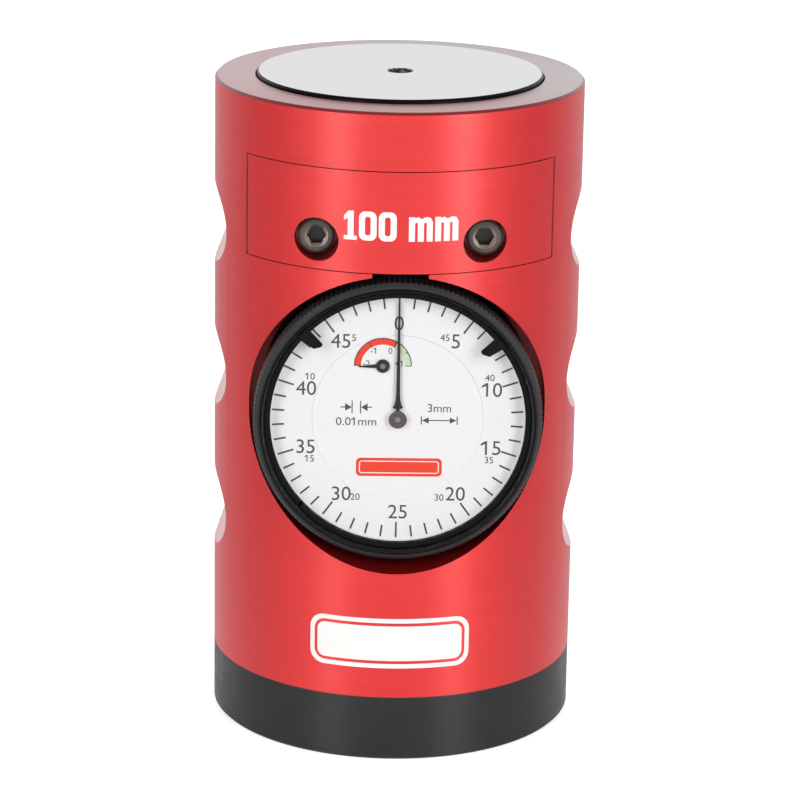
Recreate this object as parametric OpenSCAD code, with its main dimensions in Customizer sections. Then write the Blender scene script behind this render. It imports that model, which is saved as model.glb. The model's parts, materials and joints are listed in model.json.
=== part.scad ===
// Tool height presetter, 100 mm: a round housing on a magnetic base, with a sprung contact disc on top
// and a dial indicator clamped in its side. The indicator reads zero when the disc is pressed to 100 mm.
// Origin: centre of the underside. +Z is up, the dial faces -Y, +X is to the right of the dial.

/* [Housing] */
// Diameter of the housing and of the magnetic base
housing_d = 56.7; // [56.4:0.1:58]
// Height of the housing's top rim above the surface it stands on
rim_z = 101.4; // [101.2:0.1:101.8]
// Height of the magnetic base
base_h = 10.2; // [9.8:0.1:11]
// Chamfer round the top rim and the underside
edge_chamfer = 0.4; // [0.2:0.1:0.6]
// Width of the opening that holds the indicator
bore_d = 45.1; // [44.8:0.1:45.6]
// How much taller than wide the opening is
bore_stretch = 1.5; // [0:0.1:2]
// Radius of each side groove, whose axis runs front to back
groove_r = 11.1; // [9:0.1:14]
// Depth of each side groove
groove_depth = 2.1; // [1:0.1:2.4]
// Height of the middle pair of side grooves
groove_z = 55.7; // [54:0.1:57]
// Distance between one side groove and the next
groove_pitch = 22.9; // [20:0.1:24]

/* [Contact disc] */
// Height of the disc's face at rest
disc_z = 102; // [101.9:0.1:102.2]
// Diameter of the recess in the rim that the disc sits in
recess_d = 44.4; // [44:0.1:45]
// Gap all round the disc
disc_gap = 0.22; // [0.15:0.01:0.4]
// Thickness of the disc
disc_t = 4.2; // [3.8:0.1:4.2]
// Travel of the disc from rest to its lower stop
press_travel = 3; // [2:0.5:3]

/* [Stem clamp] */
// Height of the cover's lower edge
cover_z0 = 77; // [76.8:0.1:77.4]
// Height of the cover's upper edge
cover_z1 = 92.6; // [92:0.1:92.6]
// Distance of the clamp's split plane, and of the stem's axis, in front of the housing's axis
stem_front = 16.6; // [16.5:0.05:16.7]
// Distance of each cover screw from the middle
cover_screw_x = 12.5; // [11.5:0.1:13.5]
// Height of the cover screws
cover_screw_z = 81.6; // [81:0.1:84]

/* [Indicator] */
// Height of the dial's centre
dial_z = 53.5; // [53.2:0.1:53.7]
// Diameter of the bezel over its knurl
bezel_d = 43.6; // [43.2:0.1:44]
// Number of knurl ribs round the bezel
knurl_count = 168; // [60:12:240]
// Width of the view through the crystal
window_d = 38.4; // [38:0.1:38.6]
// Diameter of the fixed middle of the dial
inner_dial_d = 25.5; // [24.5:0.1:25.8]
// Length of the main hand from its axis
main_hand_l = 18.2; // [15:0.1:18.6]

/* [Hidden] */
$fn = 96;

housing_r = housing_d / 2;
eps = 1;                                    // how far a cutter runs past a face
seat_gap = 0.02;                            // radial gap of a pressed or seated piece
run_gap = 0.03;                             // radial gap of a sliding or turning fit

// Contact disc and its guide
recess_z = disc_z - disc_t - press_travel - 0.6;    // floor of the recess, just below the lower stop
disc_r = recess_d / 2 - disc_gap;
disc_under_z = disc_z - disc_t;
disc_hole_r = 1.85;
set_screw_depth = 0.6;                      // below the disc's face
plunger_r = 5;
plunger_z0 = 52;
guide_bore_r = 7;
guide_bore_z0 = 24;
upper_bush = [81, 94];                      // lower and upper height of each guide bush
lower_bush = [58, 70];
clip_z = [55.65, 56.35];
clip_r = [4.35, 6.2];                       // inner and outer radius of the clip
washer_z = [56.45, 57.9];
pin_r = 1.5;
pin_y = 15;                                 // the anti-turn pin stands behind the plunger
pin_z = [86, 100.3];
pin_bush_r = 3;
pin_bush_z = [87.5, 94];
pin_hole_z0 = 82;

// Stem clamp
stem_r = 4;
stem_z1 = 89.4;
stem_clear_z = 89.9;                        // above this the clamp's groove narrows
point_hole_r = 3.2;
slot_half = 4.2;
cover_gap = 0.13;
seam_w = 0.22;                              // width of the relief down each side of the cover
head_r = 2.75;
head_seat = 20.15;                          // where the screw heads seat, in front of the housing's axis
head_front = 23.15;
head_bore_r = 3.28;

// Forward positions of the indicator's pieces, measured from the housing's axis towards the dial
bore_back = 9.4;
cover_back = [9.9, 10.9];
case_shoulder = 21.2;
case_front = 22.6;
ledge = [21.1, 21.8];
back_plate_w = [12, 12.8];
bridge_w = [19, 19.6];
front_plate_w = [21.8, 22.4];
bezel_shelf_w = 22.8;
dial_w = [23.25, 23.63];
small_hand_w = [23.72, 23.84];
main_hand_w = [24.06, 24.18];
crystal_w = [24.6, 25.2];
crystal_ring_w = [25.2, 25.6];
marker_w = [25.66, 25.84];
bezel_w = [21.4, 26.75];                    // back edge and front lip of the bezel
case_r = 20.9;
spigot_r = 20;
case_inner_r = 18.6;
ledge_r = 16.8;
plate_r = 16.6;
front_plate_r = 18.9;
pillar_at = [11.8, 9.6];
pillar_r = 1.2;
window_r = window_d / 2;
dial_r = 19.9;
wire_w = 22.1;                              // forward position of the bezel's friction wire
wire_r = 0.2;

// Gear train: tooth counts, modules and arbor places on the dial, seen from the front
rack_teeth = 12;
rack_pitch = 0.5;
rack_module = rack_pitch / PI;
wheel_a_teeth = 60;
pinion_b_teeth = 15;
module_ab = 0.16;
wheel_b_teeth = 30;
pinion_c_teeth = 10;
wheel_d_teeth = 50;
module_bc = 0.25;
arbor_a = [-2.35, 8.2];
arbor_c = [0, 0];
ab = module_ab * (wheel_a_teeth + pinion_b_teeth) / 2;
bc = module_bc * (wheel_b_teeth + pinion_c_teeth) / 2;
cd = module_bc * (wheel_d_teeth + pinion_c_teeth) / 2;
ac = norm(arbor_c - arbor_a);
along = (ab * ab - bc * bc + ac * ac) / (2 * ac);
aside = sqrt(ab * ab - along * along);
ac_dir = (arbor_c - arbor_a) / ac;
arbor_b = arbor_a + along * ac_dir + aside * [ac_dir[1], -ac_dir[0]];
arbor_d_angle = -60;
arbor_d = cd * [cos(arbor_d_angle), sin(arbor_d_angle)];
arbor_r = 0.4;
jewel_r = 0.8;
wheel_t = 0.3;
wheel_low_w = 19.95;                        // forward position of the wheels next to the bridge plate
wheel_high_w = 20.6;                        // and of the wheels next to the front plate

// Spindle, in heights above the dial's centre
spindle_r = 2;
spindle_y = [-19.3, 39.5];
rack_y = [5.7, 13.7];
rack_pitch_x = arbor_a[0] + rack_teeth * rack_pitch / (2 * PI);
collar_y = [-9, -8.2];
collar_r = 2.9;
bush_y = [-20.8, -17];
guide_pin_y = -6;
guide_pin_r = 0.6;
stem_y0 = 18;

red = [0.80, 0.13, 0.11];
steel = [0.80, 0.80, 0.80];
dark = [0.12, 0.12, 0.13];
brass = [0.80, 0.66, 0.36];
white = [0.95, 0.95, 0.95];

// ---------------------------------------------------------------- shared shapes

module tube(r_out, r_in, h) {
    difference() {
        cylinder(r = r_out, h = h);
        translate([0, 0, -eps]) cylinder(r = r_in, h = h + 2 * eps);
    }
}

// A cylinder between two heights
module post(r, z) {
    translate([0, 0, z[0]]) cylinder(r = r, h = z[1] - z[0]);
}

// A tube between two heights
module ring(r_out, r_in, z) {
    translate([0, 0, z[0]]) tube(r_out, r_in, z[1] - z[0]);
}

// A frame whose +Z looks out of the dial, with its origin on the dial's axis
module dial_frame() {
    translate([0, 0, dial_z]) rotate([90, 0, 0]) children();
}

// A frame on the spindle's axis, at the height of the dial's centre
module spindle_frame() {
    translate([0, -stem_front, dial_z]) children();
}

// A hexagon socket of a given width across flats
module hex_socket(flats, depth) {
    cylinder(d = flats / cos(30), h = depth, $fn = 6);
}

// Four places, mirrored left to right and top to bottom
module four(at) {
    for (sx = [-1, 1], sy = [-1, 1]) translate([sx * at[0], sy * at[1], 0]) children();
}

module round_about(count, r, start = 0) {
    for (i = [0 : count - 1]) rotate(start + i * 360 / count) translate([r, 0, 0]) children();
}

// Round wire wound into a coil, swept ring by ring up the Z axis
module coil(mean_r, coil_wire_r, z, turns, steps = 20, sides = 8) {
    rings = turns * steps;
    rise = (z[1] - z[0] - 2 * coil_wire_r) / rings;
    points = [for (i = [0 : rings], j = [0 : sides - 1])
        let (a = 360 * i / steps, b = 360 * j / sides, r = mean_r + coil_wire_r * cos(b))
        [r * cos(a), r * sin(a), z[0] + coil_wire_r + rise * i + coil_wire_r * sin(b)]];
    walls = [for (i = [0 : rings - 1], j = [0 : sides - 1])
        let (k = (j + 1) % sides, p = i * sides, q = p + sides)
        [p + j, p + k, q + k, q + j]];
    start_cap = [for (j = [sides - 1 : -1 : 0]) j];
    end_cap = [for (j = [0 : sides - 1]) rings * sides + j];
    polyhedron(points, concat([start_cap], walls, [end_cap]), convexity = 10);
}

// ---------------------------------------------------------------- gears

addendum = 0.9;                             // in modules
dedendum = 1.15;
backlash = 0.12;
pressure_angle = 20;

function involute(base_r, r) = r <= base_r ? 0 : sqrt(pow(r / base_r, 2) - 1) * 180 / PI - acos(base_r / r);

// Half the angle that one tooth takes at radius r
function tooth_half(teeth, m, r) =
    let (pitch_r = teeth * m / 2, base_r = pitch_r * cos(pressure_angle))
    (90 / teeth) * (1 - backlash) + involute(base_r, pitch_r) - involute(base_r, r);

module gear(teeth, m, h, first_tooth, hole_r) {
    pitch_r = teeth * m / 2;
    radii = [pitch_r - dedendum * m, pitch_r - 0.45 * m, pitch_r + 0.2 * m, pitch_r + addendum * m];
    outline = [for (i = [0 : teeth - 1], j = [0 : 7])
        let (r = radii[j < 4 ? j : 7 - j], a = first_tooth + i * 360 / teeth,
             s = (j < 4 ? -1 : 1) * tooth_half(teeth, m, r))
        r * [cos(a + s), sin(a + s)]];
    difference() {
        linear_extrude(h) polygon(outline);
        if (hole_r > 0) translate([0, 0, -eps]) cylinder(r = hole_r, h = h + 2 * eps);
    }
}

// The angle from one arbor to another
function towards(p, q) = atan2(q[1] - p[1], q[0] - p[0]);

// The first tooth of a gear that meshes with a gear whose first tooth is at tooth_1
function meshed(direction, tooth_1, teeth_1, teeth_2) =
    direction + 180 - (0.5 - (direction - tooth_1) * teeth_1 / 360) * 360 / teeth_2;

wheel_a_tooth = towards(arbor_a, arbor_b);
pinion_b_tooth = meshed(wheel_a_tooth, wheel_a_tooth, wheel_a_teeth, pinion_b_teeth);
wheel_b_tooth = towards(arbor_b, arbor_c);
pinion_c_tooth = meshed(wheel_b_tooth, wheel_b_tooth, wheel_b_teeth, pinion_c_teeth);
wheel_d_tooth = meshed(arbor_d_angle, pinion_c_tooth, pinion_c_teeth, wheel_d_teeth);

// ---------------------------------------------------------------- housing and clamp

module housing() {
    color(red) difference() {
        rotate_extrude() polygon([
            [0, base_h], [housing_r, base_h], [housing_r, rim_z - edge_chamfer],
            [housing_r - edge_chamfer, rim_z], [0, rim_z]]);
        post(recess_d / 2, [recess_z, rim_z + eps]);
        post(guide_bore_r + seat_gap, [guide_bore_z0, recess_z + eps]);
        translate([0, pin_y, 0]) post(pin_bush_r + seat_gap, [pin_bush_z[0], recess_z + eps]);
        translate([0, pin_y, 0]) post(pin_r + 0.4, [pin_hole_z0, pin_bush_z[0] + eps]);
        indicator_bore();
        side_grooves();
        clamp_pocket();
        cover_side_seams();
        stem_groove();
        stem_slot();
        cover_screw_places() post(1.5 + seat_gap, [9, stem_front + eps]);
        base_screw_places() post(2 + seat_gap, [base_h - eps, 21]);
        base_dowel_places() post(1.5 + seat_gap, [base_h - eps, 16.2]);
    }
}

// The opening for the indicator, slightly taller than wide
module indicator_bore() {
    for (side = [-1, 1])
        translate([0, 0, side * bore_stretch / 2])
            dial_frame() post(bore_d / 2, [bore_back, housing_r + eps]);
    translate([-bore_d / 2, -housing_r - eps, dial_z - bore_stretch / 2])
        cube([bore_d, housing_r + eps - bore_back, bore_stretch]);
}

// Shallow finger grooves cut straight across both sides
module side_grooves() {
    for (side = [-1, 1], step = [-1, 0, 1])
        translate([side * (housing_r - groove_depth + groove_r), 0, groove_z + step * groove_pitch])
            rotate([90, 0, 0]) cylinder(r = groove_r, h = housing_d, center = true);
}

// The flat-backed pocket that the clamp cover closes
module clamp_pocket() {
    translate([-housing_r - eps, -housing_r - eps, cover_z0])
        cube([housing_d + 2 * eps, housing_r + eps - stem_front, cover_z1 - cover_z0]);
}

// A narrow relief down each side of the clamp cover, cut a little way into the housing
module cover_side_seams() {
    half_chord = sqrt(pow(housing_r, 2) - pow(stem_front, 2));
    for (side = [-1, 1])
        translate([side * (half_chord - 0.02) - seam_w / 2, -housing_r - eps, cover_z0])
            cube([seam_w, housing_r + eps - stem_front + 0.6, cover_z1 - cover_z0]);
}

// Half of this groove lies in the housing and half in the clamp cover
module stem_groove() {
    translate([0, -stem_front, 0]) {
        post(stem_r + seat_gap, [cover_z0 - eps, stem_clear_z]);
        post(point_hole_r, [stem_clear_z - eps, recess_z + eps]);
    }
}

// The way in for the stem, through the web between the bore and the cover
module stem_slot() {
    height = cover_z0 + 0.5 - dial_z;
    translate([-slot_half, -housing_r - eps, dial_z])
        cube([2 * slot_half, housing_r + eps - stem_front, height]);
    translate([0, -stem_front, dial_z]) cylinder(r = slot_half, h = height);
}

module cover_screw_places() {
    for (side = [-1, 1])
        translate([side * cover_screw_x, 0, cover_screw_z]) rotate([90, 0, 0]) children();
}

module stem_clamp_cover() {
    color(red) difference() {
        intersection() {
            post(housing_r, [cover_z0 + cover_gap, cover_z1 - cover_gap]);
            translate([-housing_r - eps, -housing_r - eps, cover_z0])
                cube([housing_d + 2 * eps, housing_r + eps - stem_front - cover_gap, cover_z1 - cover_z0]);
        }
        cover_side_seams();
        stem_groove();
        cover_screw_places() post(1.6, [stem_front - eps, housing_r]);
        cover_screw_places() post(head_bore_r, [head_seat, housing_r + eps]);
    }
}

module cover_screws() {
    head_bevel = 0.4;
    color(dark) cover_screw_places() difference() {
        union() {
            post(1.5, [10, head_seat + 0.01]);
            post(head_r, [head_seat, head_front - head_bevel]);
            translate([0, 0, head_front - head_bevel])
                cylinder(r1 = head_r, r2 = head_r - head_bevel, h = head_bevel);
        }
        translate([0, 0, head_front - 1.8]) hex_socket(2.5, 1.8 + eps);
        translate([0, 0, head_front - 0.45]) cylinder(r1 = 1.3, r2 = 1.8, h = 0.5);
    }
}

// ---------------------------------------------------------------- magnetic base

channel_r = [12.6, 22.6];                   // walls of the magnet's channel
channel_z = 7.4;
magnet_r = [13, 22.2];
screw_circle_r = 8;
dowel_circle_r = 25.4;

module base_screw_places() {
    round_about(3, screw_circle_r, 90) children();
}

module base_dowel_places() {
    round_about(2, dowel_circle_r, 90) children();
}

module magnet_base() {
    color(dark) difference() {
        rotate_extrude() polygon([
            [0, 0], [housing_r - edge_chamfer, 0], [housing_r, edge_chamfer],
            [housing_r, base_h], [0, base_h]]);
        ring(channel_r[1], channel_r[0], [-eps, channel_z]);
        base_screw_places() post(2.2, [-eps, base_h + eps]);
        base_screw_places() post(3.7, [-eps, 4.6]);
        base_dowel_places() post(1.5 + seat_gap, [4, base_h + eps]);
    }
}

module ring_magnet() {
    color([0.30, 0.30, 0.32]) ring(magnet_r[1], magnet_r[0], [1.2, channel_z - 0.02]);
}

module magnet_resin() {
    color([0.08, 0.08, 0.08]) ring(channel_r[1] - seat_gap, channel_r[0] + seat_gap, [0.2, 1.18]);
}

module base_screws() {
    color(dark) base_screw_places() difference() {
        union() {
            post(3.5, [0.6, 4.58]);
            post(2, [4.5, 20]);
        }
        translate([0, 0, 0.6 - eps]) hex_socket(3, 2.2 + eps);
    }
}

module base_dowels() {
    color(steel) base_dowel_places() post(1.5, [4.2, 16]);
}

// ---------------------------------------------------------------- contact disc and its guide

module upper_guide_bush() {
    color(brass) ring(guide_bore_r, plunger_r + run_gap, upper_bush);
}

module lower_guide_bush() {
    color(brass) ring(guide_bore_r, plunger_r + run_gap, lower_bush);
}

module anti_turn_bush() {
    color(brass) translate([0, pin_y, 0]) ring(pin_bush_r, pin_r + run_gap, pin_bush_z);
}

module return_spring() {
    color(steel) coil(5.5, 0.7, [guide_bore_z0 + 0.05, plunger_z0 - 0.05], 8);
}

module contact_disc() {
    bevel = 0.3;
    color(steel) difference() {
        rotate_extrude() polygon([
            [0, disc_under_z], [disc_r - bevel, disc_under_z], [disc_r, disc_under_z + bevel],
            [disc_r, disc_z - bevel], [disc_r - bevel, disc_z], [0, disc_z]]);
        post(disc_hole_r, [disc_under_z - eps, disc_z + eps]);
        translate([0, 0, disc_z - 0.2]) cylinder(r1 = disc_hole_r, r2 = disc_hole_r + 0.4, h = 0.4);
        translate([0, pin_y, 0]) post(pin_r + seat_gap, [disc_under_z - eps, pin_z[1] + 0.2]);
    }
}

module disc_set_screw() {
    color(dark) difference() {
        post(disc_hole_r - seat_gap, [86, disc_z - set_screw_depth]);
        translate([0, 0, disc_z - 3.4]) hex_socket(2.5, 3.4);
    }
}

module guide_plunger() {
    color([0.7, 0.7, 0.72]) difference() {
        post(plunger_r, [plunger_z0, disc_under_z - 0.01]);
        post(disc_hole_r, [85, disc_under_z + eps]);
        ring(plunger_r + eps, clip_r[0] - seat_gap, [clip_z[0] - 0.05, clip_z[1] + 0.05]);
    }
}

module anti_turn_pin() {
    color(steel) translate([0, pin_y, 0]) post(pin_r, pin_z);
}

// An open retaining ring in the plunger's groove
module plunger_clip() {
    color(dark) difference() {
        ring(clip_r[1], clip_r[0], clip_z);
        translate([0, -1.5, clip_z[0] - eps]) cube([clip_r[1] + eps, 3, clip_z[1] - clip_z[0] + 2 * eps]);
    }
}

module stop_washer() {
    color([0.2, 0.2, 0.2]) ring(6.6, plunger_r + seat_gap, washer_z);
}

// ---------------------------------------------------------------- indicator case

module back_cover_screw_places() {
    round_about(4, 19.7, 45) children();
}

module indicator_case() {
    color(dark) difference() {
        union() {
            dial_frame() ring(case_r, case_inner_r, [cover_back[1], case_shoulder]);
            dial_frame() ring(spigot_r, front_plate_r + 0.1, [case_shoulder - 0.1, case_front]);
            dial_frame() ring(case_inner_r + 0.5, ledge_r, ledge);
        }
        spindle_frame() post(stem_r + seat_gap, [10, 30]);
        spindle_frame() post(3.2 + seat_gap, [-30, -10]);
        dial_frame() back_cover_screw_places() post(0.7 + seat_gap, [cover_back[1] - eps, 14.2]);
        dial_frame() front_plate_screw_places() post(0.5 + seat_gap, [ledge[0] - eps, ledge[1] + eps]);
        dial_frame() ring(spigot_r + eps, 19.6, [wire_w - 0.3, wire_w + 0.3]);
    }
}

module case_back_cover() {
    color(dark) dial_frame() difference() {
        post(20.5, [cover_back[0], cover_back[1] - 0.01]);
        back_cover_screw_places() post(0.8, [cover_back[0] - eps, cover_back[1] + eps]);
        back_cover_screw_places() post(1.3, [cover_back[0] - eps, 10.45]);
    }
}

module back_cover_screws() {
    color(steel) dial_frame() back_cover_screw_places() difference() {
        union() {
            post(1.25, [9.95, 10.43]);
            post(0.7, [10.4, 14]);
        }
        translate([-0.15, -2, 9.95 - eps]) cube([0.3, 4, 0.2 + eps]);
    }
}

module stem() {
    color(steel) spindle_frame() difference() {
        post(stem_r, [stem_y0, stem_z1 - dial_z]);
        post(spindle_r + run_gap, [stem_y0 - eps, stem_z1 - dial_z + eps]);
    }
}

module spindle_bush() {
    color(brass) spindle_frame() ring(3.2, spindle_r + run_gap, bush_y);
}

// ---------------------------------------------------------------- movement, fixed pieces

module front_plate_screw_places() {
    round_about(3, 17.7, 30) children();
}

module jewel_hole(at, w) {
    translate([at[0], at[1], 0]) post(jewel_r + 0.01, [w[0] - eps, w[1] + eps]);
}

module back_plate() {
    color(brass) dial_frame() difference() {
        post(plate_r, back_plate_w);
        jewel_hole(arbor_a, back_plate_w);
        four(pillar_at) post(0.65, [back_plate_w[0] - eps, back_plate_w[1] + eps]);
        translate([-guide_pin_r - 0.04, guide_pin_y - press_travel - 0.8, back_plate_w[0] - eps])
            cube([2 * (guide_pin_r + 0.04), press_travel + 1.6, 3]);
    }
}

module bridge_plate() {
    color(brass) dial_frame() difference() {
        post(plate_r, bridge_w);
        for (at = [arbor_a, arbor_b, arbor_c, arbor_d]) jewel_hole(at, bridge_w);
        four(pillar_at) post(0.65, [bridge_w[0] - eps, bridge_w[1] + eps]);
        translate([-3.4, -plate_r - eps, bridge_w[0] - eps]) cube([6.8, plate_r + eps - 8, 3]);
    }
}

module front_plate() {
    color(brass) dial_frame() difference() {
        post(front_plate_r, [front_plate_w[0] + 0.01, front_plate_w[1]]);
        for (at = [arbor_a, arbor_b, arbor_c, arbor_d]) jewel_hole(at, front_plate_w);
        four(pillar_at) post(0.65, [front_plate_w[0] - eps, front_plate_w[1] + eps]);
        front_plate_screw_places() post(0.55, [front_plate_w[0] - eps, front_plate_w[1] + eps]);
        dial_feet_places() post(0.5 + seat_gap, [front_plate_w[0] - eps, front_plate_w[1] + eps]);
    }
}

module pillars(w) {
    color(steel) dial_frame() four(pillar_at) ring(pillar_r, 0.65, [w[0] + 0.01, w[1] - 0.01]);
}

module rear_pillars() {
    pillars([back_plate_w[1], bridge_w[0]]);
}

module front_pillars() {
    pillars([bridge_w[1], front_plate_w[0]]);
}

module movement_screws() {
    color(steel) dial_frame() four(pillar_at) difference() {
        union() {
            post(1.1, [11.2, back_plate_w[0] - 0.01]);
            post(0.6, [11.9, front_plate_w[1] - 0.1]);
        }
        translate([-0.12, -1.5, 11.2 - eps]) cube([0.24, 3, 0.3 + eps]);
    }
}

module front_plate_screws() {
    color(steel) dial_frame() front_plate_screw_places() union() {
        post(0.85, [front_plate_w[1] + 0.01, front_plate_w[1] + 0.35]);
        post(0.5, [ledge[0] + 0.1, front_plate_w[1] + 0.1]);
    }
}

module jewel(at, w) {
    translate([at[0], at[1], 0]) ring(jewel_r, arbor_r + run_gap, w);
}

module jewel_bearings() {
    color([0.7, 0.1, 0.3]) dial_frame() {
        jewel(arbor_a, back_plate_w);
        for (at = [arbor_a, arbor_b, arbor_c, arbor_d]) jewel(at, bridge_w);
        for (at = [arbor_a, arbor_b, arbor_c, arbor_d]) jewel(at, front_plate_w);
    }
}

module dial_feet_places() {
    for (side = [-1, 1]) translate([side * 9, -4, 0]) children();
}

module inner_dial() {
    color(white) dial_frame() difference() {
        union() {
            post(inner_dial_d / 2, dial_w);
            dial_feet_places() post(0.5, [front_plate_w[0] + 0.1, dial_w[0] + 0.1]);
        }
        for (at = [arbor_a, arbor_c])
            translate([at[0], at[1], 0]) post(0.7, [dial_w[0] - eps, dial_w[1] + eps]);
    }
}

hairspring_r = [1.0, 4.6];
hairspring_turns = 6;
strip_t = 0.08;

// A flat spiral strip round the hairspring arbor
module hairspring() {
    steps = 24 * hairspring_turns;
    grow = (hairspring_r[1] - hairspring_r[0]) / steps;
    edge = [for (i = [0 : steps]) [hairspring_r[0] + grow * i, 15 * i]];
    outer = [for (p = edge) (p[0] + strip_t) * [cos(p[1]), sin(p[1])]];
    inner = [for (i = [steps : -1 : 0]) edge[i][0] * [cos(edge[i][1]), sin(edge[i][1])]];
    color([0.35, 0.4, 0.6]) dial_frame() translate([arbor_d[0], arbor_d[1], 20.75])
        linear_extrude(0.4) polygon(concat(outer, inner));
}

module hairspring_stud() {
    color(brass) dial_frame() translate([arbor_d[0] + hairspring_r[1] + strip_t + 0.42, arbor_d[1], 0])
        post(0.4, [20.7, front_plate_w[0]]);
}

module bezel_friction_wire() {
    color(steel) dial_frame() translate([0, 0, wire_w]) difference() {
        rotate_extrude() translate([19.93, 0]) circle(r = wire_r, $fn = 24);
        translate([-1, -spigot_r - eps, -1]) cube([2, 3, 2]);
    }
}

module spindle_spring() {
    color(steel) spindle_frame() coil(2.55, 0.2, [bush_y[1] + 0.05, collar_y[0] - 0.05], 9, 16, 6);
}

// ---------------------------------------------------------------- spindle

module rack_gaps() {
    depth = rack_module * dedendum;
    tip = rack_module * addendum;
    half = rack_pitch / 4 * (1 + backlash);
    slope = tan(pressure_angle);
    for (y = [arbor_a[1] - 2.5 : rack_pitch : arbor_a[1] + 5.5])
        translate([rack_pitch_x, 0, y]) rotate([90, 0, 0]) linear_extrude(2 * spindle_r + eps, center = true)
            polygon([[depth, -half + depth * slope], [depth, half - depth * slope],
                     [-tip - 0.2, half + (tip + 0.2) * slope], [-tip - 0.2, -half - (tip + 0.2) * slope]]);
}

module spindle() {
    flat_x = rack_pitch_x - rack_module * addendum;
    color(steel) spindle_frame() difference() {
        post(spindle_r, spindle_y);
        translate([-spindle_r - eps, -spindle_r - eps, rack_y[0]])
            cube([flat_x + spindle_r + eps, 2 * (spindle_r + eps), rack_y[1] - rack_y[0]]);
        rack_gaps();
        post(0.8 + seat_gap, [spindle_y[1] - 3, spindle_y[1] + eps]);
        translate([0, 0, guide_pin_y]) rotate([-90, 0, 0]) post(guide_pin_r + seat_gap, [0, spindle_r + eps]);
    }
}

// The ball-ended point that bears on the underside of the disc
module contact_point() {
    tip = disc_under_z - 0.02 - dial_z;
    dome_r = 2.6;
    color(steel) spindle_frame() {
        post(0.8, [spindle_y[1] - 2.8, spindle_y[1] + 0.1]);
        intersection() {
            post(1.9, [spindle_y[1] + 0.01, tip]);
            translate([0, 0, tip - dome_r]) union() {
                sphere(r = dome_r);
                translate([0, 0, -dome_r - 3]) cylinder(r = dome_r, h = dome_r + 3);
            }
        }
    }
}

module rack_guide_pin() {
    color(steel) spindle_frame() translate([0, 0, guide_pin_y]) rotate([-90, 0, 0])
        post(guide_pin_r, [0.1, stem_front - back_plate_w[0] - 0.1]);
}

module spindle_collar() {
    color(dark) spindle_frame() ring(collar_r, spindle_r + 0.01, collar_y);
}

// ---------------------------------------------------------------- turning arbors

module at_arbor(at, w) {
    dial_frame() translate([at[0], at[1], w]) children();
}

module rack_arbor() {
    color(steel) {
        at_arbor(arbor_a, 0) post(arbor_r, [back_plate_w[0] + 0.05, small_hand_w[1] + 0.14]);
        at_arbor(arbor_a, stem_front - 0.8) gear(rack_teeth, rack_module, 1.6, 0, 0);
    }
}

module counter_wheel() {
    color(brass) at_arbor(arbor_a, wheel_high_w)
        gear(wheel_a_teeth, module_ab, wheel_t, wheel_a_tooth, arbor_r + 0.01);
}

// A hub whose head clamps a hand on its spigot
module hand_hub(at, spigot, collar, hand_w, foot, head, head_t) {
    seat = hand_w[1] + 0.01;
    at_arbor(at, 0) difference() {
        union() {
            post(collar, [hand_w[0] - foot, hand_w[0] - 0.01]);
            post(spigot, [hand_w[0] - foot, seat + 0.01]);
            translate([0, 0, seat]) cylinder(r1 = head, r2 = head - 0.08, h = head_t);
        }
        post(arbor_r + 0.01, [hand_w[0] - foot - eps, seat + head_t + eps]);
    }
}

module small_hand_hub() {
    color(dark) hand_hub(arbor_a, 0.6, 0.9, small_hand_w, 0.05, 1.05, 0.17);
}

// At rest the counter's hand points at the mark two millimetres before zero, on the left
module small_hand() {
    color(dark) at_arbor(arbor_a, 0) difference() {
        union() {
            post(0.9, small_hand_w);
            translate([0, 0, small_hand_w[0]]) rotate(182) linear_extrude(small_hand_w[1] - small_hand_w[0])
                polygon([[0, -0.3], [1.5, -0.26], [3.6, -0.07], [3.6, 0.07], [1.5, 0.26], [0, 0.3]]);
        }
        post(0.62, [small_hand_w[0] - eps, small_hand_w[1] + eps]);
    }
}

module intermediate_arbor() {
    color(steel) {
        at_arbor(arbor_b, 0) post(arbor_r, [bridge_w[0] + 0.05, front_plate_w[1] - 0.05]);
        at_arbor(arbor_b, wheel_high_w - 0.15)
            gear(pinion_b_teeth, module_ab, 2 * wheel_t, pinion_b_tooth, 0);
    }
}

module intermediate_wheel() {
    color(brass) at_arbor(arbor_b, wheel_low_w)
        gear(wheel_b_teeth, module_bc, wheel_t, wheel_b_tooth, arbor_r + 0.01);
}

module centre_arbor() {
    color(steel) {
        at_arbor(arbor_c, 0) post(arbor_r, [bridge_w[0] + 0.05, main_hand_w[1] + 0.24]);
        at_arbor(arbor_c, wheel_low_w - 0.15)
            gear(pinion_c_teeth, module_bc, 2 * wheel_t, pinion_c_tooth, 0);
    }
}

module main_hand_hub() {
    color([0.5, 0.47, 0.45]) hand_hub(arbor_c, 0.9, 1.44, main_hand_w, 0.38, 1.46, 0.3);
}

// Thin pointer with a flared foot next to its ring
module main_hand() {
    color(dark) at_arbor(arbor_c, 0) difference() {
        union() {
            post(1.3, main_hand_w);
            translate([0, 0, main_hand_w[0]]) linear_extrude(main_hand_w[1] - main_hand_w[0])
                polygon([[-0.25, 0], [-0.25, 1.6], [-0.8, 1.75], [-0.5, 2.3], [-0.35, 3], [-0.29, 4],
                         [-0.14, main_hand_l], [0.14, main_hand_l], [0.29, 4], [0.35, 3], [0.5, 2.3],
                         [0.8, 1.75], [0.25, 1.6], [0.25, 0]]);
        }
        post(0.92, [main_hand_w[0] - eps, main_hand_w[1] + eps]);
    }
}

module hairspring_arbor() {
    color(steel) at_arbor(arbor_d, 0) union() {
        post(arbor_r, [bridge_w[0] + 0.05, front_plate_w[1] - 0.05]);
        post(0.9, [wheel_low_w + wheel_t, 21.25]);
    }
}

module hairspring_wheel() {
    color(brass) at_arbor(arbor_d, wheel_low_w)
        gear(wheel_d_teeth, module_bc, wheel_t - 0.01, wheel_d_tooth, arbor_r + 0.01);
}

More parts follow.
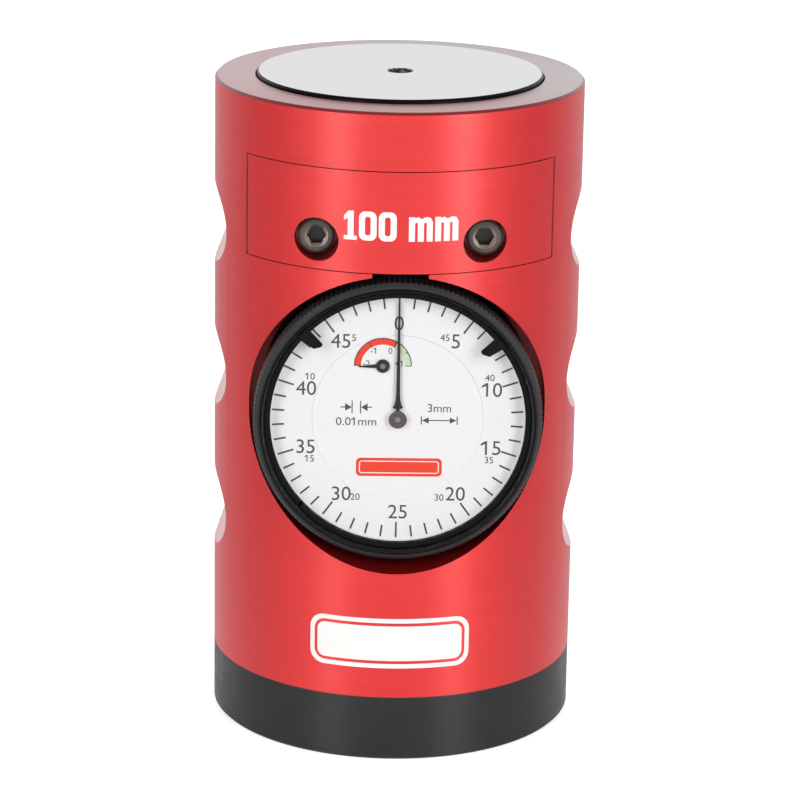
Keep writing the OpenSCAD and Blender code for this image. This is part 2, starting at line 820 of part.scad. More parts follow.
// ---------------------------------------------------------------- bezel group

bezel_r = bezel_d / 2;
knurl_depth = 0.22;
skirt_r = spigot_r + 0.06;
bezel_bore_r = 19.95;

module bezel() {
    lip = bezel_w[1];
    ribs = [for (i = [0 : 2 * knurl_count - 1])
        (bezel_r - (i % 2) * knurl_depth) * [cos(180 * i / knurl_count), sin(180 * i / knurl_count)]];
    color(dark) dial_frame() intersection() {
        translate([0, 0, bezel_w[0] - eps]) linear_extrude(bezel_w[1] - bezel_w[0] + 2 * eps) polygon(ribs);
        rotate_extrude() polygon([
            [skirt_r, bezel_w[0]], [bezel_r - 0.5, bezel_w[0]], [bezel_r + 0.1, bezel_w[0] + 0.6],
            [bezel_r + 0.1, lip - 1.3], [21.1, lip - 0.25], [21.08, lip - 0.37], [20.78, lip - 0.37],
            [20.76, lip - 0.05], [20.7, lip], [20.45, lip], [20.05, 25.9], [20.25, 25.88], [20.25, 25.62],
            [bezel_bore_r, 25.62], [bezel_bore_r, dial_w[0]], [19.3, dial_w[0]], [19.3, bezel_shelf_w],
            [skirt_r, bezel_shelf_w],
            [skirt_r, wire_w + 0.3], [skirt_r + 0.3, wire_w + 0.3], [skirt_r + 0.3, wire_w - 0.3],
            [skirt_r, wire_w - 0.3]]);
    }
}

module crystal() {
    color([0.85, 0.92, 0.95, 0.3]) dial_frame() post(19.9, [crystal_w[0] + 0.01, crystal_w[1] - 0.01]);
}

// A split ring that snaps in over the crystal, its gap at the lower left
module crystal_ring() {
    gap_angle = 222;
    color(dark) dial_frame() difference() {
        rotate_extrude() polygon([
            [window_r, crystal_ring_w[0]], [19.93, crystal_ring_w[0]], [19.93, crystal_ring_w[1]],
            [window_r + 0.15, crystal_ring_w[1]], [window_r, crystal_ring_w[1] - 0.15]]);
        rotate(gap_angle) translate([window_r - eps, -0.25, crystal_ring_w[0] - eps]) cube([3, 0.5, 3]);
    }
}

// The outer dial turns with the bezel, and its raised rim carries the crystal
module scale_ring() {
    inner_r = inner_dial_d / 2 + 0.05;
    color(white) dial_frame() rotate_extrude() polygon([
        [inner_r, dial_w[0] + 0.01], [dial_r, dial_w[0] + 0.01], [dial_r, crystal_w[0]], [19.3, crystal_w[0]],
        [19.3, dial_w[1]], [inner_r + 0.2, dial_w[1]], [inner_r, dial_w[1] - 0.1]]);
}

// A tab over the edge of the dial, on a shoe that slides in the bezel's groove. Its tip is cut slanting.
module tolerance_marker() {
    shoe_half = 5;
    color(dark) translate([0, 0, marker_w[0]])
        linear_extrude(marker_w[1] - marker_w[0]) {
            polygon([[-1.35, 19.6], [-0.93, 17.05], [-0.02, 16.48], [0.42, 16.48], [0.56, 16.68], [0.7, 19.6]]);
            intersection() {
                difference() {
                    circle(r = 20.18);
                    circle(r = 19.45);
                }
                polygon([[0, 0], 30 * [-sin(shoe_half), cos(shoe_half)],
                         30 * [sin(shoe_half), cos(shoe_half)]]);
            }
        }
}

module tolerance_marker_left() {
    dial_frame() rotate(45.3) tolerance_marker();
}

module tolerance_marker_right() {
    dial_frame() rotate(-49.4) mirror([1, 0, 0]) tolerance_marker();
}

// ---------------------------------------------------------------- output, one piece or all

housing();
stem_clamp_cover();
cover_screws();
magnet_base();
ring_magnet();
magnet_resin();
base_screws();
base_dowels();
upper_guide_bush();
lower_guide_bush();
anti_turn_bush();
return_spring();
contact_disc();
disc_set_screw();
guide_plunger();
anti_turn_pin();
plunger_clip();
stop_washer();
indicator_case();
case_back_cover();
back_cover_screws();
stem();
spindle_bush();
back_plate();
bridge_plate();
front_plate();
rear_pillars();
front_pillars();
movement_screws();
front_plate_screws();
jewel_bearings();
inner_dial();
hairspring();
hairspring_stud();
bezel_friction_wire();
spindle_spring();
spindle();
contact_point();
rack_guide_pin();
spindle_collar();
rack_arbor();
counter_wheel();
small_hand();
small_hand_hub();
intermediate_arbor();
intermediate_wheel();
centre_arbor();
main_hand();
main_hand_hub();
hairspring_arbor();
hairspring_wheel();
bezel();
crystal();
crystal_ring();
scale_ring();
tolerance_marker_left();
tolerance_marker_right();
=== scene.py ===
"""Looks of the 100 mm tool height presetter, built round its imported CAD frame.

Metres, +Z up, with the dial facing -Y. Sizes are stated in millimetres, and MM turns them into metres.
"""
import json
import math

import bmesh
import bpy
from mathutils import Matrix, Vector


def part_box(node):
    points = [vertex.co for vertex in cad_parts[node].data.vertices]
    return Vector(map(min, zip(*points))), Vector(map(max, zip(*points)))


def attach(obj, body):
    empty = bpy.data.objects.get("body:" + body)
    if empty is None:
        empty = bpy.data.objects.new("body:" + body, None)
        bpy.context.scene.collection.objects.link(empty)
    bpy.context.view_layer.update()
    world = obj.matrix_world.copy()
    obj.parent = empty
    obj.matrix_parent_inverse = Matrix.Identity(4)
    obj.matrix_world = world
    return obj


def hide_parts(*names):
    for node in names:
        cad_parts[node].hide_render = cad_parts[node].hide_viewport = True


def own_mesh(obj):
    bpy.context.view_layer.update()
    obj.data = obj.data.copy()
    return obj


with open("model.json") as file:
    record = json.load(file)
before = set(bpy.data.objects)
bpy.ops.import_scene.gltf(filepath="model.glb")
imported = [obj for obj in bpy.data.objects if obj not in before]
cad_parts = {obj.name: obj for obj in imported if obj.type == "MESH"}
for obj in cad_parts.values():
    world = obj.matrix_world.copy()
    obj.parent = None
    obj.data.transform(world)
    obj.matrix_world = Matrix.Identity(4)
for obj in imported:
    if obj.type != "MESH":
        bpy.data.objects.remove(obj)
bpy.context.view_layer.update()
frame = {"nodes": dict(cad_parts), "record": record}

scene = bpy.context.scene
MM = 0.001

# ---------------------------------------------------------------- places, worked out from the frame

body_low, body_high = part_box("housing")
bezel_low, bezel_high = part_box("bezel")
dial_low, dial_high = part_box("inner_dial")
counter_low, counter_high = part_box("small_hand_hub")
screws_low, screws_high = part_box("cover_screws")

BODY_R = (body_high.x - body_low.x) / 2 / MM
RIM_Z = body_high.z / MM
DISC_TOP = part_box("contact_disc")[1].z / MM

# The dial's axis, and how far in front of the housing's axis its face and its crystal lie
DIAL_X = (bezel_low.x + bezel_high.x) / 2 / MM
DIAL_Z = (bezel_low.z + bezel_high.z) / 2 / MM
DIAL_FACE = -dial_low.y / MM
CRYSTAL_UNDER = -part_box("crystal")[1].y / MM
INNER_DIAL_R = (dial_high.x - dial_low.x) / 2 / MM

# The millimetre counter's middle, from the dial's
COUNTER_X = (counter_low.x + counter_high.x) / 2 / MM - DIAL_X
COUNTER_Z = (counter_low.z + counter_high.z) / 2 / MM - DIAL_Z

# The cover's two screws, at either side of the middle
HEAD_FRONT = -screws_low.y / MM
HEAD_R = (screws_high.z - screws_low.z) / 2 / MM
SCREW_X = screws_high.x / MM - HEAD_R
SCREW_Z = (screws_low.z + screws_high.z) / 2 / MM

# Sizes that no box gives
CHAMFER = 0.42           # the rim's chamfer, and a hair
OPENING_HALF = 23.3      # the indicator's opening ends, and the side grooves begin, this far from the middle
WINDOW_R = 19.2          # inside of the split ring that holds the crystal
SOCKET_R = 1.82          # mouth of the cover screws' sockets
BEZEL_EDGE_R = 20.85     # where the bezel's slope ends and its satin front begins

# ---------------------------------------------------------------- shader helpers


class Paint:
    """A Principled material whose detail comes from a few procedural nodes."""

    def __init__(self, name, colour, metallic=0.0, roughness=0.5, **sockets):
        self.mat = bpy.data.materials.new(name)
        self.mat.use_nodes = True
        self.nodes = self.mat.node_tree.nodes
        self.links = self.mat.node_tree.links
        self.bsdf = self.nodes["Principled BSDF"]
        self.set("Base Color", (*colour, 1))
        self.set("Metallic", metallic)
        self.set("Roughness", roughness)
        for socket, value in sockets.items():
            self.set(socket.replace("_", " "), value)

    def set(self, socket, value):
        """Gives one of the shader's sockets a constant."""
        self.bsdf.inputs[socket].default_value = value

    def drive(self, socket, source):
        """Feeds one of the shader's sockets from a node."""
        self.links.new(source, self.bsdf.inputs[socket])

    def node(self, kind, inputs=None, **attributes):
        """A new node. Each of its inputs is a constant or another node's output."""
        made = self.nodes.new(kind)
        for key, value in attributes.items():
            setattr(made, key, value)
        for key, value in (inputs or {}).items():
            if isinstance(value, bpy.types.NodeSocket):
                self.links.new(value, made.inputs[key])
            else:
                made.inputs[key].default_value = value
        return made

    def point(self):
        """The shaded point, in millimetres in the object's own space."""
        return self.scaled(self.node("ShaderNodeTexCoord").outputs["Object"], (1 / MM,) * 3)

    def scaled(self, vector, factors):
        """A vector with each of its parts multiplied by its own factor."""
        return self.node("ShaderNodeVectorMath", {0: vector, 1: factors}, operation="MULTIPLY").outputs[0]

    def parts(self):
        """The point's X, Y and Z."""
        return self.node("ShaderNodeSeparateXYZ", {0: self.point()}).outputs

    def facing(self, axis):
        """How squarely the surface faces along an axis of the object, either way: 0 to 1."""
        normal = self.node("ShaderNodeTexCoord").outputs["Normal"]
        return self.math("ABSOLUTE", self.node("ShaderNodeSeparateXYZ", {0: normal}).outputs[axis])

    def noise(self, size, stretch=(1, 1, 1), detail=3.0, rough=0.55):
        """Noise from 0 to 1 with grains about size millimetres across, longer where stretch is above 1."""
        place = self.scaled(self.point(), tuple(1 / (size * s) for s in stretch))
        inputs = {"Vector": place, "Scale": 1.0, "Detail": detail, "Roughness": rough}
        return self.node("ShaderNodeTexNoise", inputs).outputs[0]

    def radius(self, centre=(0, 0), across=("X", "Y"), both_sides=False):
        """The distance from an axis, or from the nearer of a pair at either side of the middle."""
        places = [self.parts()[a] for a in across]
        if both_sides:
            places[0] = self.math("ABSOLUTE", places[0])
        offsets = [self.math("SUBTRACT", a, c) for a, c in zip(places, centre)]
        return self.math("SQRT", self.math("ADD", *(self.math("MULTIPLY", o, o) for o in offsets)))

    def rings(self, size):
        """Noise that changes only with the distance from the Z axis, like the lines of a lathe on a face."""
        place = self.node("ShaderNodeCombineXYZ", {0: self.math("DIVIDE", self.radius(), size)}).outputs[0]
        return self.node("ShaderNodeTexNoise", {"Vector": place, "Scale": 1.0, "Detail": 2.0}).outputs[0]

    def math(self, operation, a, b=0.0):
        return self.node("ShaderNodeMath", {0: a, 1: b}, operation=operation).outputs[0]

    def above(self, value, limit):
        """A mask: 1 where value is above limit, and 0 elsewhere."""
        return self.math("GREATER_THAN", value, limit)

    def below(self, value, limit):
        """A mask: 1 where value is below limit, and 0 elsewhere."""
        return self.math("LESS_THAN", value, limit)

    def product(self, first, *others):
        """The product of two or more values. Of masks, it is the place that they share."""
        for other in others:
            first = self.math("MULTIPLY", first, other)
        return first

    def span(self, value, low, high, to_low=0.0, to_high=1.0):
        """value, mapped from low..high to to_low..to_high and held there."""
        inputs = {0: value, 1: low, 2: high, 3: to_low, 4: to_high}
        return self.node("ShaderNodeMapRange", inputs, clamp=True).outputs[0]

    def mix(self, share, a, b):
        """A colour between a and b."""
        made = self.node("ShaderNodeMix", {0: share}, data_type="RGBA")
        for index, colour in ((6, a), (7, b)):
            if isinstance(colour, bpy.types.NodeSocket):
                self.links.new(colour, made.inputs[index])
            else:
                made.inputs[index].default_value = (*colour, 1)
        return made.outputs[2]

    def bump(self, height, strength, depth=0.02, edge=0.0):
        """Raises the surface by up to depth millimetres, and rounds its edges off by edge millimetres."""
        inputs = {"Height": height, "Strength": strength, "Distance": depth * MM}
        if edge:
            inputs["Normal"] = self.node("ShaderNodeBevel", {"Radius": edge * MM}, samples=4).outputs[0]
        self.drive("Normal", self.node("ShaderNodeBump", inputs).outputs[0])


def shade(colour, factor):
    return tuple(min(1.0, c * factor) for c in colour)


def vary(paint, pattern, colour, spread, roughness, rough_spread):
    """Lets a pattern of noise carry a paint's colour and roughness up and down."""
    paint.drive("Base Color", paint.mix(pattern, shade(colour, 1 - spread), shade(colour, 1 + spread)))
    low, high = roughness - rough_spread, roughness + rough_spread
    paint.drive("Roughness", paint.span(pattern, 0.3, 0.7, low, high))


def mottled(paint, colour, spread, size, roughness, rough_spread):
    """Gives a paint slow variation in colour and roughness."""
    vary(paint, paint.noise(size), colour, spread, roughness, rough_spread)
    return paint


# ---------------------------------------------------------------- materials


def red_anodised():
    """Turned aluminium, coloured red with dye and sealed, bright milled in its side grooves, with painted
    shade darkening it in its bores and on the chamfer under its rim.

    Its rim is turned flat after the dyeing and keeps a pink bloom, which a painted sheen makes fade out
    towards its back and right to a greyer pink.
    """
    # The greyer pink that the rim turns to at its back is a painted sheen.
    red, bloom, painted_sheen = (0.75, 0.008, 0.008), (0.48, 0.2, 0.19), (0.43, 0.34, 0.335)
    paint = Paint("red_anodised", red, Specular_IOR_Level=0.0, Coat_Weight=1.0,
                  Coat_Roughness=0.34, Coat_IOR=1.7, Anisotropic=0.5, Anisotropic_Rotation=0.25)
    tangent = paint.node("ShaderNodeTangent", direction_type="RADIAL", axis="Z")
    paint.drive("Tangent", tangent.outputs[0])

    height = paint.parts()["Z"]
    aside = paint.math("ABSOLUTE", paint.parts()["X"])
    frontal = paint.facing("Y")
    on_rim = paint.above(height, RIM_Z - 0.05)
    on_chamfer = paint.above(height, RIM_Z - CHAMFER)
    below_rim = paint.below(height, RIM_Z - 5)
    in_bore = paint.product(paint.below(frontal, 0.3), below_rim, paint.below(aside, OPENING_HALF))
    within = paint.below(paint.radius(), BODY_R - 0.05)
    in_groove = paint.product(paint.below(frontal, 0.02), below_rim, paint.above(aside, OPENING_HALF), within)

    streaks = paint.noise(0.7, stretch=(30, 30, 1), detail=4.0, rough=0.65)
    cloud = paint.noise(9.0, stretch=(1, 1, 2.5))
    dye_and_painted_shade = paint.mix(paint.span(streaks, 0.3, 0.7), shade(red, 0.94), shade(red, 1.06))
    dye_and_painted_shade = paint.mix(paint.product(cloud, 0.3), dye_and_painted_shade, shade(red, 0.82))
    # Painted shade: the walls of the bores round the opening are darkened in the colour.
    dye_and_painted_shade = paint.mix(in_bore, dye_and_painted_shade, shade(red, 0.36))
    # Painted shade: the rim's chamfer is a darker red, standing in for the dim room that it reflects.
    dye_and_painted_shade = paint.mix(on_chamfer, dye_and_painted_shade, shade(red, 0.3))
    facing_lines = paint.rings(0.12)
    # Painted sheen: across the rim, from front left to back right, the pink turns greyer.
    backward = paint.math("ADD", paint.parts()["X"], paint.parts()["Y"])
    rim_colour_and_sheen = paint.mix(paint.span(backward, -BODY_R, BODY_R), bloom, painted_sheen)
    rim_colour_and_sheen = paint.mix(paint.product(facing_lines, 0.15), rim_colour_and_sheen, shade(bloom, 0.5))
    paint.drive("Base Color", paint.mix(on_rim, dye_and_painted_shade, rim_colour_and_sheen))

    turning = paint.noise(0.09, stretch=(400, 400, 1), detail=4.0, rough=0.7)
    rough = paint.span(turning, 0.25, 0.75, 0.51, 0.59)
    rough = paint.math("SUBTRACT", rough, paint.product(in_bore, 0.25))
    rough = paint.math("SUBTRACT", rough, paint.product(in_groove, 0.35))
    paint.drive("Roughness", rough)
    paint.drive("Metallic", paint.span(paint.math("MAXIMUM", on_rim, in_groove), 0, 1, 0.42, 1))
    paint.bump(paint.math("ADD", turning, facing_lines), 0.12, depth=0.01, edge=0.12)
    return paint.mat


def black_base():
    """Black oxide on turned steel."""
    black = (0.009, 0.009, 0.01)
    paint = mottled(Paint("black_base", black), black, 0.3, 2.5, 0.36, 0.05)
    paint.bump(paint.noise(0.08, stretch=(300, 300, 1)), 0.12, depth=0.01, edge=0.12)
    return paint.mat


def black_oxide():
    """Screws and small pieces.

    The cover screws' heads are a warm grey, partly worn by handling and partly a painted sheen, and handling
    has worn the mouths of their sockets bright.
    """
    # The warm grey of the screw heads is partly a painted sheen.
    black, worn, bright = (0.014, 0.014, 0.015), (0.1, 0.085, 0.078), (0.75, 0.7, 0.62)
    paint = mottled(Paint("black_oxide", black), black, 0.3, 2.5, 0.3, 0.05)
    outward = paint.radius((SCREW_X, SCREW_Z), ("X", "Z"), both_sides=True)
    front = paint.below(paint.parts()["Y"], 0.6 - HEAD_FRONT)
    on_head = paint.product(front, paint.below(outward, HEAD_R + 0.1))
    sloping = paint.below(paint.facing("Y"), 0.95)
    mouth = paint.product(on_head, paint.below(outward, SOCKET_R), sloping)
    patches = paint.span(paint.noise(0.8), 0.2, 0.7, 0.5, 1)
    # Painted sheen with some wear: patches of the heads' outer part are painted a warm grey.
    wear_and_sheen = paint.product(on_head, paint.span(outward, 1.4, 1.6), patches)
    paint.drive("Base Color", paint.mix(mouth, paint.mix(wear_and_sheen, black, worn), bright))
    paint.drive("Metallic", mouth)
    paint.bump(paint.noise(0.08), 0.12, depth=0.01, edge=0.08)
    return paint.mat


def ground_steel():
    """The hardened disc: blackened all over, ground bright on top, and rubbed where its hole shows."""
    steel, black = (0.77, 0.765, 0.755), (0.012, 0.012, 0.012)
    paint = Paint("ground_steel", steel, metallic=1.0)
    grinding = paint.noise(0.05, stretch=(1, 500, 500), detail=4.0, rough=0.7)
    on_top = paint.above(paint.parts()["Z"], DISC_TOP - 0.02)
    in_hole = paint.below(paint.radius(), 3)      # covers the hole's wall, which is narrower
    rubbed = paint.product(in_hole, paint.span(paint.noise(0.55), 0.4, 0.6, 0.05, 0.5))
    bright = paint.mix(grinding, shade(steel, 0.94), shade(steel, 1.06))
    paint.drive("Base Color", paint.mix(paint.math("MAXIMUM", on_top, rubbed), black, bright))
    paint.drive("Roughness", paint.span(grinding, 0.3, 0.7, 0.36, 0.46))
    paint.bump(grinding, 0.1, depth=0.006)
    return paint.mat


def metal(name, colour, roughness, size=0.06, stretch=(120, 120, 1), spread=0.06):
    """Bare metal with fine lines from its machining, or grains where stretch is even."""
    paint = Paint(name, colour, metallic=1.0)
    lines = paint.noise(size, stretch=stretch)
    vary(paint, lines, colour, spread, roughness, 0.05)
    paint.bump(lines, 0.15, depth=0.008, edge=0.04)
    return paint.mat


def grainy(name, colour, roughness, size, strength, **sockets):
    """A plastic, rubber, resin or sintered piece with grains of a size, and slower patches of colour."""
    paint = mottled(Paint(name, colour, **sockets), colour, 0.12, size * 12, roughness, 0.04)
    paint.bump(paint.noise(size), strength, depth=0.02, edge=0.05)
    return paint.mat


def hub_metal():
    """Nickel silver: a dull bead-blasted face over a polished side."""
    dull, polished = (0.15, 0.133, 0.13), (0.93, 0.9, 0.86)
    paint = Paint("hub_metal", dull, metallic=1.0)
    side = paint.below(paint.facing("Y"), 0.5)
    grains = paint.noise(0.12, detail=2.0)
    face = paint.mix(grains, shade(dull, 0.7), shade(dull, 1.3))
    paint.drive("Base Color", paint.mix(side, face, polished))
    paint.drive("Roughness", paint.span(side, 0, 1, 0.45, 0.16))
    paint.bump(grains, 0.3, depth=0.006, edge=0.05)
    return paint.mat


def bezel_finish():
    """Black anodised: satin on the knurl and round the front, polished on the slope down to the crystal."""
    satin, gloss = (0.043, 0.043, 0.046), (0.001, 0.001, 0.001)
    paint = Paint("bezel_black", satin, Specular_IOR_Level=0.18)
    outward = paint.radius((DIAL_X, DIAL_Z), ("X", "Z"))
    outer = paint.span(outward, BEZEL_EDGE_R - 0.1, BEZEL_EDGE_R + 0.1)
    worn = paint.mix(paint.noise(1.5), shade(satin, 0.8), shade(satin, 1.2))
    paint.drive("Base Color", paint.mix(outer, gloss, worn))
    paint.drive("Roughness", paint.span(outer, 0, 1, 0.25, 0.45))
    paint.bump(paint.noise(0.12), 0.12, depth=0.01, edge=0.05)
    return paint.mat


def enamel():
    """The dial's satin white enamel, with a trace of orange peel."""
    white = (0.8, 0.797, 0.828)
    paint = mottled(Paint("dial_white", white, Specular_IOR_Level=0.4), white, 0.012, 5.0, 0.42, 0.03)
    paint.bump(paint.noise(0.35), 0.05, depth=0.004)
    return paint.mat


def ink(name, colour, spread=0.12):
    """Printed ink, a little thin in places."""
    paint = mottled(Paint(name, colour), colour, spread, 0.5, 0.55, 0.05)
    paint.bump(paint.noise(0.2), 0.05, depth=0.003)
    return paint.mat


def clear_crystal():
    """The flat crystal: it lets the view through straight and mirrors a little of the room."""
    paint = Paint("crystal_glass", (0.02, 0.02, 0.02), Alpha=0.03, Specular_IOR_Level=1.0)
    smears = paint.noise(6.0)
    paint.drive("Roughness", paint.span(smears, 0.3, 0.8, 0.01, 0.06))
    paint.mat.blend_method = "BLEND"
    return paint.mat


MATERIALS = {
    "red_anodised": red_anodised(),
    "black_base": black_base(),
    "black_oxide": black_oxide(),
    "ground_steel": ground_steel(),
    "bright_steel": metal("bright_steel", (0.66, 0.66, 0.67), 0.24),
    "spring_steel": metal("spring_steel", (0.42, 0.42, 0.43), 0.3, size=0.1, stretch=(1, 1, 1)),
    "blued_steel": metal("blued_steel", (0.1, 0.14, 0.36), 0.28, size=0.1, stretch=(1, 1, 1)),
    "hub_metal": hub_metal(),
    "arbor_steel": metal("arbor_steel", (0.36, 0.31, 0.27), 0.35, size=0.1, stretch=(1, 1, 1), spread=0.1),
    "ferrite": grainy("ferrite", (0.07, 0.07, 0.075), 0.75, 0.12, 0.4),
    "black_resin": grainy("black_resin", (0.012, 0.012, 0.013), 0.25, 0.4, 0.1),
    "bronze": metal("bronze", (0.56, 0.36, 0.17), 0.4, size=0.12, stretch=(1, 1, 1), spread=0.15),
    "brass": metal("brass", (0.8, 0.58, 0.26), 0.3),
    "ruby": grainy("ruby", (0.45, 0.01, 0.06), 0.12, 0.4, 0.05, Coat_Weight=0.5),
    "rubber": grainy("rubber", (0.02, 0.02, 0.02), 0.8, 0.08, 0.4),
    "black_case": grainy("black_case", (0.006, 0.006, 0.007), 0.5, 0.1, 0.12, Specular_IOR_Level=0.2),
    "bezel_black": bezel_finish(),
    "marker_black": grainy("marker_black", (0.005, 0.005, 0.005), 0.4, 0.1, 0.15, Specular_IOR_Level=0.12),
    "hand_black": grainy("hand_black", (0.022, 0.022, 0.024), 0.4, 0.1, 0.08, Specular_IOR_Level=0.3),
    "dial_white": enamel(),
    "crystal_glass": clear_crystal(),
    "print_black": ink("print_black", (0.05, 0.05, 0.054)),
    "print_grey": ink("print_grey", (0.07, 0.07, 0.074)),
    "print_red": ink("print_red", (0.8, 0.045, 0.015)),
    "print_green": ink("print_green", (0.56, 0.68, 0.47)),
    "print_white": ink("print_white", (0.82, 0.82, 0.81), spread=0.03),
}

for row in frame["record"]["subparts"]:
    node = frame["nodes"][row["node"]]
    node.data.materials.clear()
    node.data.materials.append(MATERIALS[row["material_slot"]])

# ---------------------------------------------------------------- flat shapes: right, up and out of a face


def on_dial(u, v, d):
    """A place on the dial's face, from its centre."""
    return Vector((DIAL_X + u, -(DIAL_FACE + d), DIAL_Z + v)) * MM


def on_counter(u, v, d):
    """A place on the dial's face, from the middle of the millimetre counter."""
    return on_dial(COUNTER_X + u, COUNTER_Z + v, d)


def on_body(u, v, d):
    """A place on the housing's round wall: along the wall from its front, and up from the underside."""
    angle = u / BODY_R
    return Vector(((BODY_R + d) * math.sin(angle), -(BODY_R + d) * math.cos(angle), v)) * MM


def piece(name, mesh, place, slot, body):
    """A new piece made of flat closed solids, put on its face and riding on a body."""
    bmesh.ops.recalc_face_normals(mesh, faces=mesh.faces)
    for vertex in mesh.verts:
        vertex.co = place(*vertex.co)
    data = bpy.data.meshes.new(name)
    mesh.to_mesh(data)
    mesh.free()
    data.materials.append(MATERIALS[slot])
    made = bpy.data.objects.new(name, data)
    scene.collection.objects.link(made)
    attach(made, body)
    return made


INK = (-0.012, 0.018)           # how far a print reaches below and above its face
OVER_INK = (-0.012, 0.024)      # the same, for a print on another print


def prism(mesh, outline, depth=INK):
    """A closed solid with a flat outline, given anticlockwise."""
    low, high = ([mesh.verts.new((u, v, d)) for u, v in outline] for d in depth)
    mesh.faces.new(high)
    mesh.faces.new(low[::-1])
    for i, j in zip(range(len(outline)), [*range(1, len(outline)), 0]):
        mesh.faces.new((low[i], low[j], high[j], high[i]))


def loop_band(mesh, inner, outer, depth=INK, closed=True):
    """A closed solid between two outlines of as many points."""
    rows = [[mesh.verts.new((u, v, d)) for u, v in line] for line, d in
            ((inner, depth[0]), (outer, depth[0]), (outer, depth[1]), (inner, depth[1]))]
    count = len(inner)
    for i in range(count if closed else count - 1):
        j = (i + 1) % count
        for a, b in zip(range(4), (1, 2, 3, 0)):
            mesh.faces.new((rows[a][i], rows[b][i], rows[b][j], rows[a][j]))
    if not closed:
        mesh.faces.new([row[0] for row in rows])
        mesh.faces.new([row[-1] for row in rows[::-1]])


def turned(angle, u, v):
    """(u, v) turned clockwise by an angle in degrees, as the dial's divisions run."""
    c, s = math.cos(math.radians(angle)), math.sin(math.radians(angle))
    return u * c + v * s, v * c - u * s


def arc(radius, start, end):
    """Points every 3 degrees on an arc, from start to end degrees clockwise from the top."""
    count = round((end - start) / 3)
    return [turned(start + (end - start) * i / count, 0, radius) for i in range(count + 1)]


def ring(radius):
    """Points every 3 degrees round a whole circle."""
    return arc(radius, 0, 357)


def bar(mesh, angle, r0, r1, width, depth=INK):
    """A radial line on a dial."""
    w = width / 2
    corners = ((-w, r0), (w, r0), (w, r1), (-w, r1))
    prism(mesh, [turned(angle, u, v) for u, v in corners], depth)


def rounded(width, height, radius, centre=(0, 0)):
    """The outline of a rectangle with round corners, anticlockwise."""
    steps = 8
    points = []
    for quarter, (su, sv) in enumerate(((1, 1), (-1, 1), (-1, -1), (1, -1))):
        cu, cv = centre[0] + su * (width / 2 - radius), centre[1] + sv * (height / 2 - radius)
        for step in range(steps + 1):
            a = math.radians(90 * quarter + 90 * step / steps)
            points.append((cu + radius * math.cos(a), cv + radius * math.sin(a)))
    return points


def type_set(text):
    """Text as closed solids about one unit high, with the lowest and highest corners of its box."""
    curve = bpy.data.curves.new("lettering", "FONT")
    curve.body = text
    curve.resolution_u = 5
    curve.extrude = 0.5
    holder = bpy.data.objects.new("lettering", curve)
    scene.collection.objects.link(holder)
    data = bpy.data.meshes.new_from_object(holder)
    bpy.data.objects.remove(holder)
    bpy.data.curves.remove(curve)
    glyphs = bmesh.new()
    glyphs.from_mesh(data)
    bpy.data.meshes.remove(data)
    bmesh.ops.remove_doubles(glyphs, verts=glyphs.verts, dist=1e-4)
    lows, highs = ([f(v.co[k] for v in glyphs.verts) for k in (0, 1)] for f in (min, max))
    return glyphs, lows, highs


def text_box(text):
    """The lowest and highest corners of a text's box."""
    glyphs, lows, highs = type_set(text)
    glyphs.free()
    return lows, highs


def lettering(mesh, text, height, centre, width=None):
    """Adds text as prints height millimetres high, and as wide as width if that is given."""
    glyphs, lows, highs = type_set(text)
    flag = ((0, 0), (-0.3, -0.2), (-0.3, -0.34), (0, -0.2))
    for place, sign in enumerate(text):
        if sign != "1":
            continue
        # The typeface's 1 is a bare bar, so it gets a flag, in parts of its height.
        bar_lows, bar_highs = text_box("1")
        so_far = text_box(text[:place + 1])[1]
        left, top = so_far[0] - (bar_highs[0] - bar_lows[0]), bar_highs[1]
        prism(glyphs, [(left + u * top, top + v * top) for u, v in flag], (-0.5, 0.5))
        lows[0] = min(lows[0], left - 0.3 * top)
    rise = height / (highs[1] - lows[1])
    run = width / (highs[0] - lows[0]) if width else rise
    for vertex in glyphs.verts:
        u = centre[0] + (vertex.co.x - (lows[0] + highs[0]) / 2) * run
        v = centre[1] + (vertex.co.y - (lows[1] + highs[1]) / 2) * rise
        vertex.co = (u, v, INK[0] + (vertex.co.z + 0.5) * (INK[1] - INK[0]))
    data = bpy.data.meshes.new("lettering")
    glyphs.to_mesh(data)
    mesh.from_mesh(data)
    glyphs.free()
    bpy.data.meshes.remove(data)


def sliced(mesh):
    """Cuts a flat mesh into upright strips, so that it can follow a round wall."""
    pitch = 0.5
    low, high = min(v.co.x for v in mesh.verts), max(v.co.x for v in mesh.verts)
    for i in range(math.ceil(low / pitch), math.floor(high / pitch) + 1):
        everything = mesh.verts[:] + mesh.edges[:] + mesh.faces[:]
        at, way = (i * pitch, 0, 0), (1, 0, 0)
        bmesh.ops.bisect_plane(mesh, geom=everything, plane_co=at, plane_no=way, dist=1e-6)
    return mesh


# ---------------------------------------------------------------- the dial's prints

DIVISIONS = 50
TICK_OUT, TICK_IN, LONG_TICK_IN = 18.97, 17.15, 16.51
TICK_W = 0.27
NUMBER_R = 14.85
NUMBER_H = 2.2
SMALL_H = 1.05
# Numbers that stand off their circle: how far to its right and above it
NUDGE = {5: (-0.2, 0.1), 20: (0.2, 0.1), 25: (0.2, 0), 30: (0.37, 0), 35: (0.28, 0), 40: (0.28, 0)}
# The reverse numbers: which number each stands beside, and how far to its right and above it
REVERSE = {5: (45, -1.84, 0.66), 10: (40, -0.35, 1.9), 15: (35, -0.2, -1.9), 20: (30, -2.25, -0.5),
           30: (20, 2.45, -0.5), 35: (15, 0.85, -1.9), 40: (10, 0.85, 1.85), 45: (5, 2.0, 0.5)}


